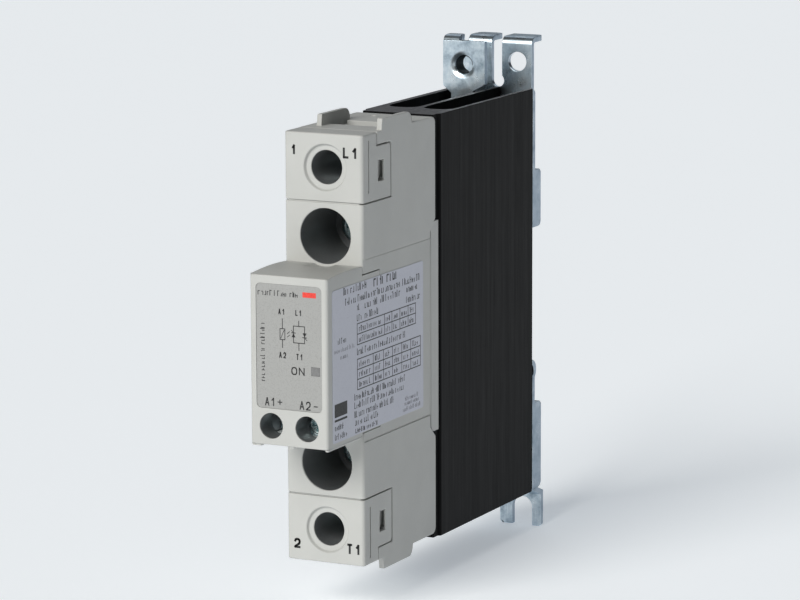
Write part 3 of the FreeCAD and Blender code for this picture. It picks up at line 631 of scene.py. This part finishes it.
# ---------------------------------------------------------------- spring and thread
def tube(name, points, radius, sides=10):
    """A closed round wire along a line of points."""
    bm = bmesh.new()
    rings = []
    for i, p in enumerate(points):
        ahead = points[min(i + 1, len(points) - 1)] - points[max(i - 1, 0)]
        along = ahead.normalized()
        side = along.cross(Vector((0, 0, 1))).normalized()
        up = side.cross(along)
        rings.append([bm.verts.new(p + radius * (math.cos(t) * side + math.sin(t) * up))
                      for t in (2 * math.pi * k / sides for k in range(sides))])
    for a, b in zip(rings, rings[1:]):
        for k in range(sides):
            bm.faces.new((a[k], a[(k + 1) % sides], b[(k + 1) % sides], b[k]))
    bm.faces.new(rings[0])
    bm.faces.new(rings[-1])
    return to_mesh(name, bm, 60)


def coil_spring():
    """Compression spring with closed end turns, between the bracket's seat and the latch's lug."""
    low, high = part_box("latch_spring")
    wire = 0.35 / 1000
    centre_x, centre_y = (low.x + high.x) / 2, (low.y + high.y) / 2
    radius = (high.x - low.x) / 2 - wire
    turns, steps = 9.0, 28
    points = []
    for i in range(int(turns * steps) + 1):
        t = i / (turns * steps)
        # the first and last turns lie almost flat
        rise = min(max((t * turns - 0.9) / (turns - 1.8), 0.0), 1.0)
        flat = 2.1 * wire * (min(t * turns / 0.9, 1) - 1 + max((t * turns - turns + 0.9) / 0.9, 0))
        z = low.z + wire * 3.1 + rise * (high.z - low.z - 6.2 * wire) + flat
        angle = 2 * math.pi * t * turns
        points.append(Vector((centre_x + radius * math.cos(angle), centre_y + radius * math.sin(angle), z)))
    spring = piece("latch_coil", tube("latch_coil", points, wire), MATERIALS["spring_steel"], "relay",
                   ("latch_spring",))
    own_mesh(spring)


def earth_thread():
    """The tapped thread inside the earth screw's collar, as a fine helical ridge."""
    x, z, y0, y1, root, crest, pitch = -3.0, 95.0, 72.9, 76.2, 2.08, 1.85, 0.7
    turns, steps = (y1 - y0) / pitch, 36
    bm = bmesh.new()
    rows = []
    for i in range(int(turns * steps) + 1):
        angle, y = 2 * math.pi * i / steps, y0 + pitch * i / steps
        spoke = [(root, -pitch / 2), (crest, -0.05), (crest, 0.05), (root, pitch / 2)]
        rows.append([bm.verts.new(at(x + r * math.cos(angle), y + dy, z + r * math.sin(angle)))
                     for r, dy in spoke])
    for a, b in zip(rows, rows[1:]):
        for k in range(4):
            bm.faces.new((a[k], a[(k + 1) % 4], b[(k + 1) % 4], b[k]))
    bm.faces.new(rows[0])
    bm.faces.new(rows[-1])
    piece("earth_thread", to_mesh("earth_thread", bm, 40), TAPPED, "relay")


coil_spring()
earth_thread()


# ---------------------------------------------------------------- floor, light and camera
def stage_floor(low_z):
    bm = bmesh.new()
    bmesh.ops.create_grid(bm, x_segments=2, y_segments=2, size=FLOOR_HALF)
    mesh = to_mesh("floor", bm)
    mesh.transform(Matrix.Translation((0, 0, low_z)))
    floor = bpy.data.objects.new("floor", mesh)
    bpy.context.scene.collection.objects.link(floor)
    m = new_material("floor_white", (0.87, 0.87, 0.87), 0.9)
    n = Nodes(m)
    n.colour(n.mix(n.noise(60.0), (0.865, 0.865, 0.865), (0.875, 0.875, 0.875)))
    n.shader.inputs["Emission Color"].default_value = (0.86, 0.93, 1.0, 1)
    n.shader.inputs["Emission Strength"].default_value = 0.40
    mesh.materials.append(m)


def sun(name, elevation, azimuth, strength, angle, colour=(1, 1, 1)):
    """A soft, even light from a height and a side (about Z, from -Y), in degrees."""
    light = bpy.data.lights.new(name, "SUN")
    light.energy, light.angle, light.color = strength, math.radians(angle), colour
    thing = bpy.data.objects.new(name, light)
    bpy.context.scene.collection.objects.link(thing)
    e, a = math.radians(elevation), math.radians(azimuth)
    towards = Vector((math.sin(a) * math.cos(e), -math.cos(a) * math.cos(e), math.sin(e)))
    thing.matrix_world = towards.to_track_quat("Z", "Y").to_matrix().to_4x4()


def camera_at(place, azimuth, elevation, roll, lens):
    """A camera looking along its azimuth (about Z, from -Y) and elevation, in radians."""
    back = Vector((math.sin(azimuth) * math.cos(elevation),
                   -math.cos(azimuth) * math.cos(elevation), math.sin(elevation)))
    right = Vector((math.cos(azimuth), math.sin(azimuth), 0))
    up = back.cross(right)
    c, s = math.cos(roll), math.sin(roll)
    turned = (c * right + s * up, c * up - s * right, back)
    data = bpy.data.cameras.new("camera")
    data.lens, data.sensor_width = lens, 36.0
    data.clip_start, data.clip_end = 0.05, 50
    thing = bpy.data.objects.new("camera", data)
    bpy.context.scene.collection.objects.link(thing)
    turn = Matrix(turned).transposed().to_4x4()
    thing.matrix_world = Matrix.Translation(place) @ turn
    bpy.context.scene.camera = thing


stage_floor(cad_box[0][2])
sun("key", 30, -9, 2.55, 34, (1.0, 0.995, 0.965))
sun("blue_fill", 18, 118, 0.06, 70, (0.7, 0.82, 1.0))
sun("back_soft", 42, 195, 0.40, 60, (0.85, 0.92, 1.0))
world = bpy.data.worlds.new("world")
world.use_nodes = True
world.node_tree.nodes["Background"].inputs["Color"].default_value = (1, 1, 1, 1)
world.node_tree.nodes["Background"].inputs["Strength"].default_value = 0.035
bpy.context.scene.world = world
bpy.context.scene.view_settings.view_transform = "Standard"
camera_at((0.361996, -0.779820, 0.154093), 0.460598, 0.176855, -0.003438, 176.364)
